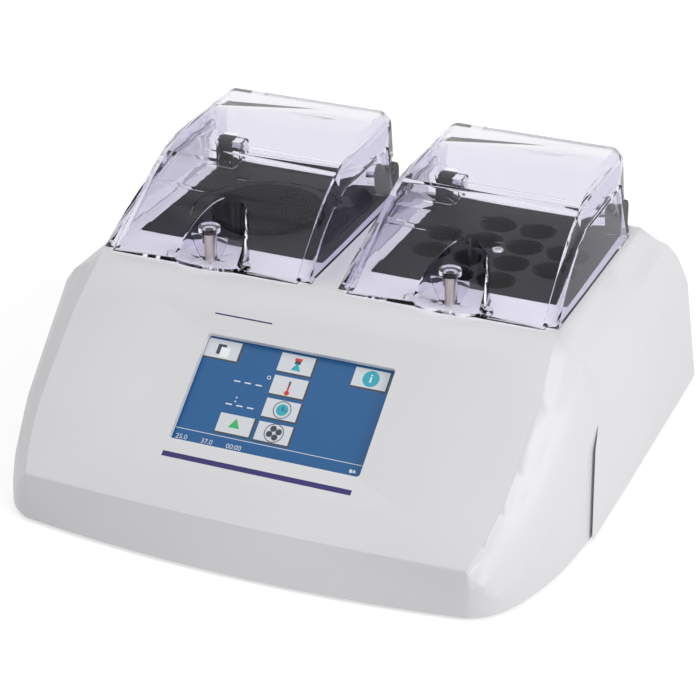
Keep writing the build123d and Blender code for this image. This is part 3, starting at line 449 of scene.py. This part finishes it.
# Dark signs on the keys: the back page, the thermometer's stem, the flask's neck, the
# clock's rim and hands, and the fan's rim with its four blades.
fan_middle = (0.499, 0.752)
blade_reach_u, blade_reach_v = 0.024, 0.041
blade_count, blade_start = 4, 0.4
dark_signs = [patch(0.060, 0.055, 0.105, 0.150, 3), patch(0.485, 0.270, 0.495, 0.370, 3),
              patch(0.478, 0.075, 0.508, 0.105, 3), hoop(0.499, 0.536, 5.2, 2.6),
              patch(0.4965, 0.500, 0.5015, 0.540, 3), patch(0.4965, 0.536, 0.525, 0.542, 3),
              hoop(*fan_middle, 5.6, 2.6)]
for blade in range(blade_count):
    turn = blade * 2 * math.pi / blade_count + blade_start
    dark_signs.append(disc(fan_middle[0] + blade_reach_u * math.cos(turn),
                           fan_middle[1] - blade_reach_v * math.sin(turn), 1.9, 3, corners=20))
join_on_panel("screen_dark_signs", dark_signs, lit("sign dark", (0.035, 0.045, 0.070)))

# Coloured signs on the keys: the flask's red cap and the thermometer's red filling, the
# green start triangle, and teal for the information disc, the flask and the clock's face.
join_on_panel("screen_red_signs",
              [patch(0.474, 0.050, 0.512, 0.075, 3), disc(0.490, 0.380, 1.5, 3),
               patch(0.486, 0.310, 0.494, 0.380, 3.5)],
              lit("sign red", (0.62, 0.03, 0.03)))
join_on_panel("screen_green_sign", [disc(0.290, 0.752, 4.0, 3, corners=3)],
              lit("sign green", (0.03, 0.42, 0.12)))
join_on_panel("screen_teal_signs",
              [disc(0.882, 0.106, 5.0, 3), disc(0.493, 0.140, 3.4, 3, corners=3),
               disc(0.499, 0.536, 3.6, 2.4)],
              lit("sign teal", (0.02, 0.36, 0.46)))
join_on_panel("screen_page_sign",
              [patch(0.080, 0.080, 0.130, 0.172, 4), patch(0.878, 0.090, 0.886, 0.140, 4),
               disc(0.882, 0.072, 0.55, 4)],
              lit("page white", (0.80, 0.82, 0.85)))

# Numerals: small plain figures on the screen's bottom line, two temperatures and a time.
numeral_size = 4.2 * MM
numeral_foot = 0.968


def numerals(text, u):
    """Figures on the bottom line of the screen, made a mesh."""
    start_shape()
    bpy.ops.object.text_add(location=on_screen(u, numeral_foot, 2))
    figures = bpy.context.object
    figures.data.body = text
    figures.data.size = numeral_size
    figures.data.extrude = leaf / 2
    bpy.ops.object.convert(target="MESH")
    return bpy.context.object


join_on_panel("screen_numerals",
              [numerals("25.0", 0.015), numerals("37.0", 0.150), numerals("00:00", 0.285)],
              lit("numeral light", (0.62, 0.66, 0.72)))

# Printed stripe and line: navy ink on the sloping facets above and below the screen,
# a fraction of a millimetre thick, plain from end to end.
facet_drop, facet_run = 1.5, 18.4
facet_lean = math.atan(facet_drop / facet_run)
ink_thickness = 0.12 * MM
print_left = -58.0
stripe_right, stripe_place, stripe_height, stripe_rise = 57.0, -44.0, 3.2, -0.62
line_right, line_place, line_height, line_rise = -22.0, 46.3, 0.8, -0.44


def printed_bar(right_end, y, height, rise, lean):
    """Thin bar of ink on a facet that leans a little against the panel, in millimetres."""
    start_shape()
    middle = (print_left + right_end) / 2
    bpy.ops.mesh.primitive_cube_add(size=1.0, location=(middle * MM, y * MM, rise * MM),
                                    rotation=(lean, 0, 0),
                                    scale=((right_end - print_left) * MM, height * MM, ink_thickness))
    return bpy.context.object


join_on_panel("printed_stripe",
              [printed_bar(stripe_right, stripe_place, stripe_height, stripe_rise, -facet_lean),
               printed_bar(line_right, line_place, line_height, line_rise, facet_lean)],
              moulded("navy ink", (0.012, 0.007, 0.115), (0.016, 0.010, 0.140), 0.40, 1200.0, 0.05))

# Foam pad: a disc of coarse black open-cell foam in the cooling bay's ring, cut from
# sheet, so its whole skin is pitted by the open cells.
foam_low, foam_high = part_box("filter_foam")
foam_clearance = 0.2 * MM
cell_size = 0.7 * MM
pore_size = 2.4 * MM
pore_depth = 1.4 * MM
start_shape()
bpy.ops.mesh.primitive_cylinder_add(vertices=160, radius=(foam_high.x - foam_low.x) / 2 - foam_clearance,
                                    depth=foam_high.z - foam_low.z,
                                    location=(foam_low + foam_high) / 2, end_fill_type="TRIFAN")
foam = bpy.context.object
foam.name = "foam_pad"
bpy.ops.object.transform_apply(location=True, rotation=True, scale=True)
cells = foam.modifiers.new("cells", "REMESH")
cells.mode = "VOXEL"
cells.voxel_size = cell_size
bpy.ops.object.modifier_apply(modifier="cells")
pores = bpy.data.textures.new("pores", "CLOUDS")
pores.noise_scale = pore_size
pits = foam.modifiers.new("pits", "DISPLACE")
pits.texture = pores
pits.texture_coords = "LOCAL"
pits.strength = pore_depth
pits.mid_level = 1.0
bpy.ops.object.modifier_apply(modifier="pits")
foam.data.materials.append(moulded("foam black", (0.004, 0.004, 0.005), (0.012, 0.012, 0.014), 0.95, 700.0,
                                   0.9, shine=0.1))
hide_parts("filter_foam")
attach(foam, "base_unit")
